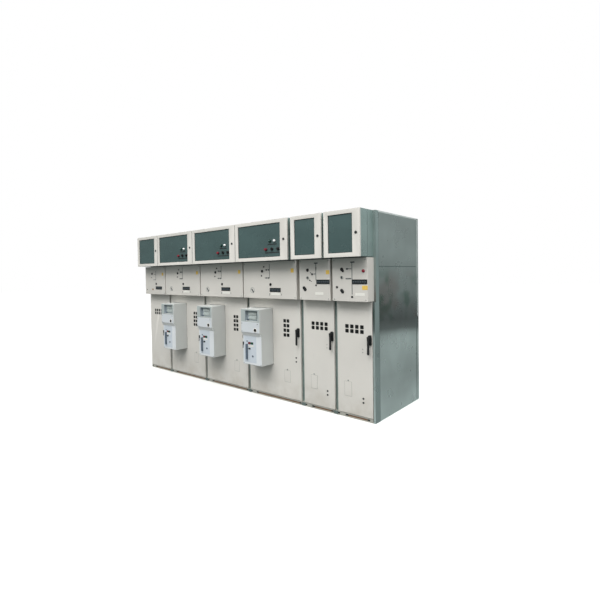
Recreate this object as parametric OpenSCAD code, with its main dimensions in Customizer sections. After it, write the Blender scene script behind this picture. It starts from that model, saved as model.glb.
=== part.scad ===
// Medium-voltage switchgear row: six metal-enclosed bays side by side.
// From the left: one metering bay, three circuit-breaker bays and two switch bays.
// X runs along the row, the front faces -Y, Z is up, and the floor is at Z = 0.

/* [Row] */
// Width of the metering bay at the left end
metering_w = 500; // [450:5:700]
// Width of each circuit-breaker bay
breaker_bay_w = 750; // [700:5:900]
// Width of each switch bay at the right end
switch_bay_w = 375; // [350:5:500]
// Height of the row above the floor
row_h = 1900; // [1850:5:2200]
// Depth from the front of the cable doors to the back
row_d = 1000; // [800:5:1300]
// Thickness of the panel that closes each end of the row
end_panel_t = 24; // [18:1:40]
// Width of the seams pressed into the end panels
seam_w = 4; // [2:1:8]
// Distance of the upright seams from the front and the back of an end panel
seam_in = 60; // [30:1:150]
// Height of the level seam of an end panel above the floor
seam_z = 1398; // [1000:1:1500]
// Gap between the last door and the lip of the end panel
lip_gap = 6; // [5:1:8]
// Thickness of the walls, roof, floor and shelves
wall_t = 3; // [2:0.5:5]
// Thickness of the sheet in doors, covers and boxes
skin_t = 2; // [1.5:0.5:3]
// Seam between neighbouring roof and rear sheets, per side
sheet_seam = 1; // [0.5:0.5:3]

/* [Frame] */
// Height of the base
base_h = 36; // [30:1:60]
// Depth of the front and rear base rails
base_rail_d = 45; // [40:1:70]
// Distance of the base front behind the door fronts
base_set = 3; // [0:1:5]
// Height of the long slot in the base below each bay
slot_h = 18; // [10:1:22]
// Height of the slot above the floor
slot_z = 9; // [5:1:12]
// Depth of the slot
slot_d = 30; // [10:1:35]
// Distance of the long slot from the left side of its bay
slot_left = 97; // [60:1:120]
// Distance of the long slot from the right side of its bay
slot_right = 30; // [15:1:60]
// Distance of the short slot from the left side of its bay
foot_slot_in = 10; // [6:1:20]
// Length of the short slot
foot_slot_w = 30; // [15:1:36]
// Width of the front post at each side of a bay
post_w = 40; // [36:1:45]
// Depth of the front posts
post_d = 40; // [25:1:60]
// Height of the rail behind the top of each door
lintel_h = 40; // [20:1:60]

/* [Cable doors] */
// Depth of a cable door from front to back
door_t = 25; // [22:1:30]
// Gap behind a closed door
door_gap = 8; // [7:1:15]
// Gap under the doors
door_foot = 5; // [5:1:10]
// Gap between the top of a door and the covers
door_head = 6; // [5:1:10]
// Distance of the first door from the left side of its bay
first_left = 2; // [1:1:24]
// Distance of the middle doors from the left side of their bays
door_left = 12; // [10:1:28]
// Distance of the last door from the left side of its bay
last_left = 24; // [10:1:28]
// Distance of a metering or breaker bay's door from the right side of its bay
door_right = 28; // [10:1:30]
// Distance of the first switch bay's door from the right side of its bay
switch_right = 12; // [10:1:30]
// How far the last door laps the end panel
last_lap = 0; // [0:1:9]
// Radius of the upright front edges of doors, covers and boxes
edge_r = 4; // [2:0.5:6]
// Size of one viewing hole
hole_s = 36; // [20:1:38]
// Corner radius of a viewing hole
hole_r = 6; // [3:1:9]
// Distance between viewing holes along the lines of four
hole_pitch = 50; // [42:1:60]
// Distance between viewing holes along the lines of two
hole_pitch_short = 43; // [42:1:60]
// Distance of the top row of viewing holes below the covers
hole_drop = 237; // [150:1:350]
// Distance of the holes from the left side of a narrow bay
hole_in = 126; // [90:1:135]
// Distance of the holes from the right of a wide door
hole_in_wide = 160; // [140:1:200]
// Thickness of the pane behind the viewing holes
sight_t = 2; // [1:0.5:4]
// Margin of that pane around the holes
sight_edge = 16; // [8:1:20]
// Diameter of the hinge pins
pin_d = 8; // [6:1:9]
// Clearance around the hinge pins and the handle hubs
pin_play = 0.3; // [0.2:0.1:0.5]
// Distance of the hinge axis from the left of the door
pin_in = 8; // [8:1:12]
// Length of a hinge pin inside the door
pin_grip = 14; // [8:1:30]

/* [Handles] */
// Width of a handle plate
handle_w = 40; // [32:1:46]
// Height of a handle plate
handle_h = 90; // [70:1:120]
// Thickness of a handle plate
handle_t = 14; // [8:1:20]
// Distance of the top of a handle plate below the covers
handle_drop = 302; // [250:1:400]
// Distance of the handle from the right of a narrow door
handle_in = 24; // [24:1:40]
// Distance of the handle from the right of a wide door
handle_in_wide = 30; // [24:1:60]
// Width of the lever
lever_w = 24; // [18:1:30]
// Thickness of the lever
lever_t = 16; // [10:1:20]
// Length of the lever from its pivot to its tip
lever_l = 148; // [120:1:180]
// Gap between the lever and its plate
lever_gap = 8; // [6:1:12]
// Distance of the pivot below the top of the plate
pivot_drop = 26; // [20:1:40]

/* [Mechanism covers] */
// Height of the covers
cover_h = 390; // [370:5:420]
// How far the covers stand ahead of the doors
cover_reach = 83; // [60:1:120]
// Distance of a switch bay's cover from the left of its bay
cover_gap = 28; // [10:1:36]
// How far a switch bay's cover laps the next bay
cover_lap = 5; // [0:1:8]
// Distance of the other covers from each side of their bays
cover_seam = 8; // [3:1:12]
// Diameter of the operating sockets
socket_d = 28; // [20:1:34]
// How far a socket ring stands out
socket_t = 4; // [2:1:8]
// Width of the bore of a socket
socket_bore = 16; // [10:1:18]
// Height of the upper sockets above the bottom of a cover
socket_up = 290; // [250:1:330]
// Distance between the two sockets of a switch bay's cover
socket_pitch = 74; // [50:1:100]
// Distance of the sockets from the left of a switch bay's cover
socket_in = 99; // [60:1:120]
// Distance of the socket from the left of a breaker bay's cover
socket_in_wide = 279; // [200:1:300]
// Distance of the socket from the left of the metering bay's cover
socket_in_metering = 170; // [120:1:200]
// Height of the lower sockets above the bottom of the wider covers
knob_up = 148; // [130:1:180]
// Distance of the lower socket from the left of a breaker bay's cover
knob_in_wide = 395; // [330:1:450]
// Distance of the lower socket from the left of the metering bay's cover
knob_in_metering = 273; // [220:1:310]
// Distance of a switch bay's display from the left of its cover
display_in = 200; // [150:1:200]
// Height of a switch bay's display above the bottom of its cover
display_up = 155; // [100:1:200]
// Distance of the other displays to the left of the lower socket
display_back = 11; // [0:1:40]
// Distance of the bottom of the other displays below the lower socket
display_drop = 78; // [65:1:100]
// Width of a voltage display
display_w = 148; // [120:1:160]
// Height of a voltage display
display_h = 42; // [30:1:50]
// How far a display stands out
display_t = 3; // [2:1:8]

/* [Low-voltage boxes] */
// Height of the low-voltage boxes
lv_h = 413; // [380:1:460]
// Gap between the covers and the low-voltage boxes
tier_gap = 7; // [4:1:15]
// How far the low-voltage boxes stand ahead of the doors
lv_reach = 204; // [150:1:260]
// Depth of a low-voltage door
lv_door_t = 20; // [12:1:30]
// Distance of most boxes from the sides of their bays
lv_seam = 2; // [1:0.5:4]
// Distance of a switch bay's box from the left of its bay
lv_gap = 14; // [4:1:30]
// Gap at the right of the last circuit-breaker bay's box
lv_group_gap = 26; // [4:1:35]
// Gap at the right of the first switch bay's box
lv_pair_gap = 12; // [1:1:30]
// Frame above and below a pane
pane_edge = 36; // [25:1:60]
// Frame at the left of a pane
pane_left = 47; // [30:1:70]
// Frame at the right of a narrow pane
pane_right = 70; // [50:1:90]
// Frame at the right of a wide pane
pane_right_wide = 88; // [50:1:120]
// Thickness of a pane
pane_t = 3; // [2:0.5:6]
// Distance of a pane behind the face of its door
pane_set = 8; // [1:0.5:12]
// Diameter of the door locks
lock_d = 24; // [16:1:32]
// How far a lock stands out
lock_t = 4; // [2:1:8]
// Diameter of the lamps and buttons
device_d = 28; // [20:1:34]
// How far the lamps and buttons stand out of the pane
device_h = 21; // [12:1:26]
// Distance between the push-buttons
button_pitch = 80; // [50:1:100]
// Distance of the last push-button from the right of the pane
button_in = 30; // [20:1:60]
// Height of the push-buttons above the bottom of the pane
button_z = 79; // [40:1:100]
// Distance between the lamps
lamp_pitch = 59; // [40:1:80]
// Distance of the white lamp from the right of the pane
lamp_in = 77; // [40:1:120]
// Height of the lamps above the bottom of the pane
lamp_z = 161; // [140:1:220]

/* [Circuit breakers] */
// Width of a breaker's mechanism housing
breaker_w = 273; // [240:1:320]
// Distance of the housing from the left of its bay
breaker_in = 82; // [60:1:120]
// Distance of the top of the housing below the covers
breaker_drop = 112; // [80:1:200]
// Height of the housing
breaker_h = 606; // [560:1:660]
// How far the upper part stands ahead of the door
breaker_reach = 213; // [150:1:260]
// How far the lower part stands back from the upper part
breaker_step = 28; // [10:1:60]
// Height of the lower part up to the sloped step
breaker_low = 334; // [280:1:345]
// Height of the sloped step
breaker_slope = 16; // [8:1:30]
// How far the housing runs into the bay behind the door front
breaker_tail = 140; // [80:1:300]
// Clearance around the housing in its door
breaker_gap = 4; // [2:1:10]
// Distance of the terminal recess from the left of the housing
recess_in = 62; // [40:1:80]
// Distance of the terminal recess from the right of the housing
recess_right = 31; // [20:1:60]
// Height of the terminal recess
recess_h = 113; // [70:1:115]
// Depth of the terminal recess
recess_d = 36; // [20:1:50]
// Distance of the recess below the top of the housing
recess_drop = 17; // [10:1:25]
// Diameter of the charging bore
charge_d = 42; // [30:1:50]
// Distance of the charging bore from the left of the housing
charge_in = 208; // [150:1:220]
// Height of the charging bore above the sloped step
charge_up = 12; // [5:1:60]
// Depth of the charging bore
charge_depth = 40; // [20:1:60]
// Width of the breaker's charging lever
charge_lever_w = 20; // [14:1:30]
// Length of the breaker's charging lever
charge_lever_l = 167; // [120:1:200]
// Distance of the charging lever from the left of the housing
charge_lever_in = 54; // [40:1:60]
// Height of the charging lever above the bottom of the housing
charge_lever_up = 56; // [30:1:100]
// How far the charging lever stands out
charge_lever_t = 22; // [12:1:27]
// Width of an indicator window
window_w = 36; // [20:1:50]
// Height of an indicator window
window_h = 24; // [14:1:36]
// Distance of the windows from the left of the housing
window_in = 79; // [75:1:140]
// Height of the windows above the bottom of the housing
window_up = 222; // [150:1:260]
// How far an indicator window stands out
window_t = 4; // [2:1:8]
// Height of the brackets that carry the housing
bracket_h = 60; // [40:1:100]
// Distance of the brackets from the top and the bottom of the housing
bracket_in = 60; // [20:1:120]

/* [Hidden] */

$fn = 48;
bays = [metering_w, breaker_bay_w, breaker_bay_w, breaker_bay_w, switch_bay_w, switch_bay_w];
last = len(bays) - 1;
breaker_bays = [1, 2, 3];

// Places along the row
function total(widths, n) = n == 0 ? 0 : widths[n - 1] + total(widths, n - 1);
function left_of(i) = total(bays, i);
function right_of(i) = total(bays, i + 1);
function is_breaker(i) = i >= breaker_bays[0] && i <= breaker_bays[2];
function is_switch(i) = i > breaker_bays[2];
row_w = total(bays, last + 1);

// Depths, measured backwards from the front of the cable doors
frame_y = door_t + door_gap;
post_back = frame_y + post_d;
rear_in = row_d - wall_t;
front_reach = max(breaker_reach, lv_reach - pane_set + device_h);
mid_y = (row_d - front_reach) / 2;

// Heights
roof_z = row_h - wall_t;
lv_z = row_h - lv_h;
cover_z = lv_z - tier_gap - cover_h;
door_z = base_h + door_foot;
door_top = cover_z - door_head;
hole_top = cover_z - hole_drop;
handle_top = cover_z - handle_drop;
pivot_z = handle_top - pivot_drop;
breaker_z = cover_z - breaker_drop - breaker_h;
recess_w = breaker_w - recess_in - recess_right;

// Sides of the pieces in bay i
function wall_left(i) = i == 0 ? wall_t : left_of(i) + wall_t / 2;
function wall_right(i) = i == last ? row_w - wall_t : right_of(i) - wall_t / 2;
function door_x0(i) = left_of(i) + (i == 0 ? first_left : i == last ? last_left : door_left);
function door_x1(i) = right_of(i) - (i == last ? -last_lap : is_switch(i) ? switch_right : door_right);
function cover_x0(i) = left_of(i) + (is_switch(i) ? cover_gap : cover_seam);
function cover_x1(i) = right_of(i) - (is_switch(i) ? -cover_lap : cover_seam);
function lv_x0(i) = left_of(i) + (is_switch(i) ? lv_gap : lv_seam);
function lv_x1(i) = right_of(i) - (i == breaker_bays[2] ? lv_group_gap : i == last - 1 ? lv_pair_gap : lv_seam);
function pane_x0(i) = lv_x0(i) + pane_left;
function pane_x1(i) = lv_x1(i) - (is_breaker(i) ? pane_right_wide : pane_right);
function handle_x(i) = door_x1(i) - (is_breaker(i) ? handle_in_wide : handle_in);
function pin_x(i) = door_x0(i) + pin_in;
pin_y = door_t / 2;
function breaker_x(i) = left_of(i) + breaker_in;

// Viewing holes: columns, rows and the centre of the first hole of bay i
function hole_cols(i) = is_breaker(i) ? 2 : 4;
function hole_rows(i) = is_breaker(i) ? 4 : 2;
function hole_step_x(i) = is_breaker(i) ? hole_pitch_short : hole_pitch;
function hole_step_z(i) = is_breaker(i) ? hole_pitch : hole_pitch_short;
function hole_x(i) = is_breaker(i) ? door_x1(i) - hole_in_wide - hole_pitch_short : left_of(i) + hole_in;

// Operating sockets and displays, from the left and the bottom of a cover
function sockets(i) =
    is_switch(i) ? [[socket_in, socket_up], [socket_in, socket_up - socket_pitch]] :
    is_breaker(i) ? [[socket_in_wide, socket_up], [knob_in_wide, knob_up]] :
    [[socket_in_metering, socket_up], [knob_in_metering, knob_up]];
function knob_in(i) = is_breaker(i) ? knob_in_wide : knob_in_metering;
function display_x(i) = is_switch(i) ? display_in : knob_in(i) - display_back;
function display_z(i) = is_switch(i) ? display_up : knob_up - display_drop;

painted = [0.82, 0.81, 0.76];
galvanised = [0.56, 0.60, 0.58];
dark_steel = [0.33, 0.40, 0.39];
pane_green = [0.31, 0.38, 0.37];
black = [0.08, 0.08, 0.08];
breaker_grey = [0.78, 0.80, 0.83];

// Moves the row so that its middle stands over the origin
module placed() {
    translate([-row_w / 2, -mid_y, 0]) children();
}

// Straight block between two corners
module block(low, high) {
    translate(low) cube(high - low);
}

// Upright front plate or box whose two front edges are rounded
module front_box(low, high, r) {
    w = high.x - low.x;
    d = high.y - low.y;
    translate(low) linear_extrude(high.z - low.z) {
        translate([0, r]) square([w, d - r]);
        translate([r, 0]) square([w - 2 * r, d]);
        translate([r, r]) circle(r);
        translate([w - r, r]) circle(r);
    }
}

// Rounded rectangle standing in the XZ plane, centred, from y = 0 forwards
module front_tile(w, h, t, r) {
    rotate([90, 0, 0]) linear_extrude(t) {
        square([w - 2 * r, h], center = true);
        square([w, h - 2 * r], center = true);
        for (sx = [-1, 1], sz = [-1, 1]) translate([sx * (w / 2 - r), sz * (h / 2 - r)]) circle(r);
    }
}

// Round piece along Y, from y = 0 forwards
module front_disc(d, t) {
    rotate([90, 0, 0]) cylinder(d = d, h = t);
}

// Feet of the front posts of bay i, used to notch the floor and the shelf
module post_notches(i, z0, z1) {
    block([left_of(i) - 1, frame_y - 1, z0], [left_of(i) + post_w, post_back, z1]);
    block([right_of(i) - post_w, frame_y - 1, z0], [right_of(i) + 1, post_back, z1]);
}

// Slot in the front of the base between two places along the row
module base_slot(x0, x1) {
    block([x0, base_set - 1, slot_z], [x1, base_set + slot_d, slot_z + slot_h]);
}

module base_rails() {
    color(galvanised) placed() {
        difference() {
            block([0, base_set, 0], [row_w, base_set + base_rail_d, base_h]);
            for (i = [0:last]) {
                base_slot(left_of(i) + slot_left, right_of(i) - slot_right);
                base_slot(left_of(i) + foot_slot_in, left_of(i) + foot_slot_in + foot_slot_w);
            }
        }
        block([0, row_d - base_rail_d, 0], [row_w, row_d, base_h]);
    }
}

module base_cross_bars() {
    color(galvanised) placed()
        for (i = [0:last + 1]) {
            x = left_of(i);
            block([max(x - post_w, 0), base_set + base_rail_d, 0],
                  [min(x + post_w, row_w), row_d - base_rail_d, base_h]);
        }
}

module front_posts() {
    color(dark_steel) placed()
        for (i = [0:last + 1]) {
            x = left_of(i);
            block([max(x - post_w, 0), frame_y, base_h], [min(x + post_w, row_w), post_back, roof_z]);
        }
}

module partition_walls() {
    color(galvanised) placed()
        for (i = [0:last + 1]) {
            x0 = i == 0 ? 0 : wall_right(i - 1);
            x1 = i > last ? row_w : wall_left(i);
            block([x0, post_back, base_h], [x1, rear_in, roof_z]);
        }
}

// End panel as a folded pan with pressed seams, for the right end
module end_panel() {
    seam_d = skin_t / 2;
    difference() {
        block([0, frame_y, 0], [end_panel_t, row_d, row_h]);
        block([-1, frame_y + skin_t, skin_t], [end_panel_t - skin_t, row_d - skin_t, row_h - skin_t]);
        for (y = [frame_y + seam_in, row_d - seam_in])
            block([end_panel_t - seam_d, y - seam_w / 2, -1], [end_panel_t + 1, y + seam_w / 2, row_h + 1]);
        block([end_panel_t - seam_d, frame_y + seam_in, seam_z],
              [end_panel_t + 1, row_d - seam_in, seam_z + seam_w]);
    }
}

module left_end_panel() {
    color(galvanised) placed() mirror([1, 0, 0]) end_panel();
}

// The right panel has a narrow lip beside the last door
module right_end_panel() {
    lip_t = end_panel_t - last_lap - lip_gap;
    color(galvanised) placed() translate([row_w, 0, 0]) {
        end_panel();
        block([end_panel_t - lip_t, base_set, 0], [end_panel_t, frame_y, door_top]);
    }
}

module rear_panels() {
    color(galvanised) placed()
        for (i = [0:last])
            block([left_of(i) + sheet_seam, rear_in, base_h], [right_of(i) - sheet_seam, row_d, roof_z]);
}

module roof_panels() {
    color(galvanised) placed()
        for (i = [0:last])
            block([left_of(i) + sheet_seam, frame_y, roof_z], [right_of(i) - sheet_seam, row_d, row_h]);
}

module floor_plates() {
    color(galvanised) placed()
        for (i = [0:last])
            difference() {
                block([wall_left(i), frame_y, base_h], [wall_right(i), rear_in, base_h + wall_t]);
                post_notches(i, 0, row_h);
            }
}

// Sheet above the cable compartment of each bay
module compartment_shelves() {
    color(galvanised) placed()
        for (i = [0:last])
            difference() {
                block([wall_left(i), frame_y, cover_z - wall_t], [wall_right(i), rear_in, cover_z]);
                post_notches(i, 0, row_h);
            }
}

// Rail under the front of each shelf, between the posts and behind the door
module door_lintels() {
    color(dark_steel) placed()
        for (i = [0:last])
            block([left_of(i) + post_w, frame_y, cover_z - lintel_h],
                  [right_of(i) - post_w, frame_y + wall_t, cover_z - wall_t]);
}

// Bottom pin with a collar on the base, and top pin on a tab of the post
module hinge_pins() {
    collar_d = 2 * pin_d;
    tab_gap = 2;
    color(dark_steel) placed()
        for (i = [0:last]) {
            translate([pin_x(i), pin_y, base_h]) {
                cylinder(d = collar_d, h = door_foot - pin_play);
                cylinder(d = pin_d, h = door_foot + pin_grip);
            }
            translate([pin_x(i), pin_y, door_top - pin_grip])
                cylinder(d = pin_d, h = pin_grip + door_head);
            block([pin_x(i) - pin_d, pin_y - pin_d, door_top + tab_gap], [pin_x(i) + pin_d, frame_y, cover_z]);
        }
}

// Folded cover of the operating mechanisms, open at the back
module mechanism_cover(i) {
    color(painted) placed()
        difference() {
            front_box([cover_x0(i), -cover_reach, cover_z], [cover_x1(i), frame_y, cover_z + cover_h], edge_r);
            block([cover_x0(i) + skin_t, skin_t - cover_reach, cover_z + skin_t],
                  [cover_x1(i) - skin_t, frame_y + 1, cover_z + cover_h - skin_t]);
        }
}

module mechanism_cover_1() { mechanism_cover(0); }
module mechanism_cover_2() { mechanism_cover(1); }
module mechanism_cover_3() { mechanism_cover(2); }
module mechanism_cover_4() { mechanism_cover(3); }
module mechanism_cover_5() { mechanism_cover(4); }
module mechanism_cover_6() { mechanism_cover(5); }

// Rings of the sockets that take the operating lever
module lever_sockets() {
    color(black) placed()
        for (i = [0:last], at = sockets(i))
            translate([cover_x0(i) + at[0], -cover_reach, cover_z + at[1]])
                difference() {
                    front_disc(socket_d, socket_t);
                    translate([0, -skin_t, 0]) front_disc(socket_bore, socket_t);
                }
}

module voltage_displays() {
    color(black) placed()
        for (i = [0:last])
            translate([cover_x0(i) + display_x(i), -cover_reach - display_t, cover_z + display_z(i)])
                cube([display_w, display_t, display_h]);
}

// Sheet boxes of the low-voltage compartments, open at the front
module lv_boxes() {
    box_y = lv_door_t - lv_reach;
    color(galvanised) placed()
        for (i = [0:last])
            difference() {
                block([lv_x0(i), box_y, lv_z], [lv_x1(i), frame_y, row_h]);
                block([lv_x0(i) + skin_t, box_y - 1, lv_z + skin_t],
                      [lv_x1(i) - skin_t, frame_y - skin_t, row_h - skin_t]);
            }
}

// Door of a low-voltage box, with a shallow recess for its pane
module lv_door(i) {
    color(painted) placed()
        difference() {
            front_box([lv_x0(i), -lv_reach, lv_z], [lv_x1(i), lv_door_t - lv_reach, row_h], edge_r);
            block([pane_x0(i), -lv_reach - 1, lv_z + pane_edge],
                  [pane_x1(i), pane_set + pane_t - lv_reach, row_h - pane_edge]);
        }
}

module lv_door_1() { lv_door(0); }
module lv_door_2() { lv_door(1); }
module lv_door_3() { lv_door(2); }
module lv_door_4() { lv_door(3); }
module lv_door_5() { lv_door(4); }
module lv_door_6() { lv_door(5); }

module lv_panes() {
    color(pane_green) placed()
        for (i = [0:last])
            block([pane_x0(i), pane_set - lv_reach, lv_z + pane_edge],
                  [pane_x1(i), pane_set + pane_t - lv_reach, row_h - pane_edge]);
}

module lv_locks() {
    color(black) placed()
        for (i = [0:last])
            translate([(pane_x1(i) + lv_x1(i)) / 2, -lv_reach, (lv_z + row_h) / 2]) front_disc(lock_d, lock_t);
}

// Stands its children on the pane of bay i, from the right and the bottom of the pane
module on_pane(i, from_right, up) {
    translate([pane_x1(i) - from_right, pane_set - lv_reach, lv_z + pane_edge + up]) children();
}

// Lamp with a bezel and a domed lens
module lamp() {
    lens_d = 0.75 * device_d;
    rim_t = device_h / 3;
    front_disc(device_d, rim_t);
    rotate([90, 0, 0]) rotate_extrude() {
        square([lens_d / 2, device_h - rim_t]);
        intersection() {
            translate([0, device_h - lens_d / 2]) circle(lens_d / 2);
            square([lens_d / 2, device_h]);
        }
    }
}

module white_lamps() {
    color("white") placed() for (i = breaker_bays) on_pane(i, lamp_in, lamp_z) lamp();
}

module green_lamps() {
    color("darkgreen") placed() for (i = breaker_bays) on_pane(i, lamp_in + lamp_pitch, lamp_z) lamp();
}

// Push-button: a wide bezel and a flush cap
module push_button() {
    cap_d = 0.8 * device_d;
    front_disc(device_d, device_h / 2);
    front_disc(cap_d, device_h);
}

module red_buttons() {
    color("firebrick") placed()
        for (i = breaker_bays) on_pane(i, button_in + 2 * button_pitch, button_z) push_button();
}

// Selector knob in the middle and push-button at the right
module black_buttons() {
    grip_w = 8;
    color(black) placed()
        for (i = breaker_bays) {
            on_pane(i, button_in, button_z) push_button();
            on_pane(i, button_in + button_pitch, button_z) {
                front_disc(device_d, device_h / 2);
                translate([-grip_w / 2, -device_h, -device_d / 2]) cube([grip_w, device_h, device_d]);
            }
        }
}

// Cuts the viewing holes of bay i through the front sheet of its door
module viewing_holes(i) {
    for (c = [0:hole_cols(i) - 1], r = [0:hole_rows(i) - 1])
        translate([hole_x(i) + c * hole_step_x(i), skin_t + 1, hole_top - r * hole_step_z(i)])
            front_tile(hole_s, hole_s, skin_t + 2, hole_r);
}

// Folded door, open at the back, with holes for its hinge pins in the top and bottom folds
module cable_door(i) {
    color(painted) placed()
        difference() {
            front_box([door_x0(i), 0, door_z], [door_x1(i), door_t, door_top], edge_r);
            block([door_x0(i) + skin_t, skin_t, door_z + skin_t],
                  [door_x1(i) - skin_t, door_t + 1, door_top - skin_t]);
            viewing_holes(i);
            translate([pin_x(i), pin_y, door_z - 1])
                cylinder(d = pin_d + 2 * pin_play, h = door_top - door_z + 2);
            if (is_breaker(i))
                block([breaker_x(i) - breaker_gap, -1, breaker_z - breaker_gap],
                      [breaker_x(i) + breaker_w + breaker_gap, door_t + 2,
                       breaker_z + breaker_h + breaker_gap]);
        }
}

module cable_door_1() { cable_door(0); }
module cable_door_2() { cable_door(1); }
module cable_door_3() { cable_door(2); }
module cable_door_4() { cable_door(3); }
module cable_door_5() { cable_door(4); }
module cable_door_6() { cable_door(5); }

// Pane behind the viewing holes of bay i, against the back of the front sheet
module sight_pane(i) {
    reach = hole_s / 2 + sight_edge;
    color(pane_green) placed()
        block([hole_x(i) - reach, skin_t, hole_top - (hole_rows(i) - 1) * hole_step_z(i) - reach],
              [hole_x(i) + (hole_cols(i) - 1) * hole_step_x(i) + reach, skin_t + sight_t, hole_top + reach]);
}

module sight_pane_1() { sight_pane(0); }
module sight_panes() { for (i = breaker_bays) sight_pane(i); }
module sight_pane_5() { sight_pane(4); }
module sight_pane_6() { sight_pane(5); }

// Plate of a door handle, on the front of the door
module handle_plate(i) {
    color(black) placed()
        translate([handle_x(i), 0, handle_top - handle_h / 2]) front_tile(handle_w, handle_h, handle_t, edge_r);
}

module handle_plate_1() { handle_plate(0); }
module handle_plates() { for (i = breaker_bays) handle_plate(i); }
module handle_plate_5() { handle_plate(4); }
module handle_plate_6() { handle_plate(5); }

// Lever of a door handle: a hub on the plate and an arm that hangs from it
module handle_lever(i) {
    color(black) placed()
        translate([handle_x(i), -handle_t, pivot_z]) {
            translate([0, -pin_play, 0]) front_disc(lever_w, lever_gap + lever_t - pin_play);
            translate([0, -lever_gap, lever_w / 4 - lever_l / 2])
                front_tile(lever_w, lever_l + lever_w / 2, lever_t, edge_r);
        }
}

module handle_lever_1() { handle_lever(0); }
module handle_levers() { for (i = breaker_bays) handle_lever(i); }
module handle_lever_5() { handle_lever(4); }
module handle_lever_6() { handle_lever(5); }

// Mechanism housing of a circuit breaker: a stepped front, a terminal recess and a charging bore
module breaker_housing(i) {
    low_y = breaker_step - breaker_reach;
    charge_z = breaker_low + breaker_slope + charge_up + charge_d / 2;
    color(breaker_grey) placed()
        translate([breaker_x(i), 0, breaker_z])
            difference() {
                rotate([90, 0, 90]) linear_extrude(breaker_w)
                    polygon([
                        [breaker_tail, 0],
                        [low_y, 0],
                        [low_y, breaker_low],
                        [-breaker_reach, breaker_low + breaker_slope],
                        [-breaker_reach, breaker_h],
                        [breaker_tail, breaker_h],
                    ]);
                block([recess_in, -breaker_reach - 1, breaker_h - recess_drop - recess_h],
                      [recess_in + recess_w, recess_d - breaker_reach, breaker_h - recess_drop]);
                translate([charge_in, charge_depth - breaker_reach, charge_z])
                    front_disc(charge_d, charge_depth + 1);
            }
}

module breaker_housing_2() { breaker_housing(1); }
module breaker_housing_3() { breaker_housing(2); }
module breaker_housing_4() { breaker_housing(3); }

// Brackets between each housing and the partition at its left
module breaker_brackets() {
    color(galvanised) placed()
        for (i = breaker_bays, z = [bracket_in, breaker_h - bracket_in - bracket_h])
            block([wall_left(i), post_back, breaker_z + z],
                  [breaker_x(i), breaker_tail, breaker_z + z + bracket_h]);
}

// Two rows of plug terminals at the back of each recess
module breaker_terminals() {
    rows = 2;
    ways = 5;
    body_w = 0.6 * recess_w;
    body_d = recess_d / 2;
    way_w = body_w / ways;
    plug_h = 0.19 * recess_h;
    color("gainsboro") placed()
        for (i = breaker_bays)
            translate([breaker_x(i) + recess_in + recess_w / 2, recess_d - breaker_reach,
                       breaker_z + breaker_h - recess_drop - recess_h / 2]) {
                front_tile(body_w, 4 * plug_h, body_d / 2, edge_r);
                for (r = [0:rows - 1], w = [0:ways - 1])
                    translate([(w - ways / 2 + 1 / 8) * way_w, -body_d, (2 * (r - rows / 2) + 1 / 2) * plug_h])
                        cube([0.75 * way_w, body_d, plug_h]);
            }
}

// Levers that charge the closing springs, on the lower part of each breaker
module charging_levers() {
    color([0.45, 0.50, 0.58]) placed()
        for (i = breaker_bays)
            translate([breaker_x(i) + charge_lever_in + charge_lever_w / 2, breaker_step - breaker_reach,
                       breaker_z + charge_lever_up + charge_lever_l / 2])
                front_tile(charge_lever_w, charge_lever_l, charge_lever_t, edge_r);
}

// Pair of state windows on each breaker
module indicator_windows() {
    gap = 3;
    color("darkred") placed()
        for (i = breaker_bays, n = [0, 1])
            translate([breaker_x(i) + window_in + n * (window_w + gap), breaker_step - breaker_reach - window_t,
                       breaker_z + window_up])
                cube([window_w, window_t, window_h]);
}

base_rails();
base_cross_bars();
front_posts();
partition_walls();
left_end_panel();
right_end_panel();
rear_panels();
roof_panels();
floor_plates();
compartment_shelves();
door_lintels();
hinge_pins();
mechanism_cover_1();
mechanism_cover_2();
mechanism_cover_3();
mechanism_cover_4();
mechanism_cover_5();
mechanism_cover_6();
lever_sockets();
voltage_displays();
lv_boxes();
lv_door_1();
lv_door_2();
lv_door_3();
lv_door_4();
lv_door_5();
lv_door_6();
lv_panes();
lv_locks();
white_lamps();
green_lamps();
red_buttons();
black_buttons();
cable_door_1();
cable_door_2();
cable_door_3();
cable_door_4();
cable_door_5();
cable_door_6();
sight_pane_1();
sight_panes();
sight_pane_5();
sight_pane_6();
handle_plate_1();
handle_plates();
handle_plate_5();
handle_plate_6();
handle_lever_1();
handle_levers();
handle_lever_5();
handle_lever_6();
breaker_housing_2();
breaker_housing_3();
breaker_housing_4();
breaker_brackets();
breaker_terminals();
charging_levers();
indicator_windows();
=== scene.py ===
"""Looks of a medium-voltage switchgear row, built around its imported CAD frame. All lengths are in metres."""
import math

import bmesh
import bpy
from mathutils import Matrix, Vector


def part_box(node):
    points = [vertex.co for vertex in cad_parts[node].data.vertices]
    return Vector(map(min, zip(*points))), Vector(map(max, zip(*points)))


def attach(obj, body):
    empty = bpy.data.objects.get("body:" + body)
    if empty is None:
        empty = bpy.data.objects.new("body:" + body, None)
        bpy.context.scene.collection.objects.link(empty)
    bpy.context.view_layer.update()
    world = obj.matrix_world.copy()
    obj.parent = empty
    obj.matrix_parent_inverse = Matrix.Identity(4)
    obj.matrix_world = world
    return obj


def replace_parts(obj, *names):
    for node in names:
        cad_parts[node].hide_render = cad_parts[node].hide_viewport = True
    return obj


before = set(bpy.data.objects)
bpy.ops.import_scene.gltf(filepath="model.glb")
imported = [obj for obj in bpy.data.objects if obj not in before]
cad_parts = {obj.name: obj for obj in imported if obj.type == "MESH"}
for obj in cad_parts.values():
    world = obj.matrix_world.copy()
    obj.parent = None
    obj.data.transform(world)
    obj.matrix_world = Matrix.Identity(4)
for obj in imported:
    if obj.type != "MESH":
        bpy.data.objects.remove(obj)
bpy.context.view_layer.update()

MM = 0.001
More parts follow.
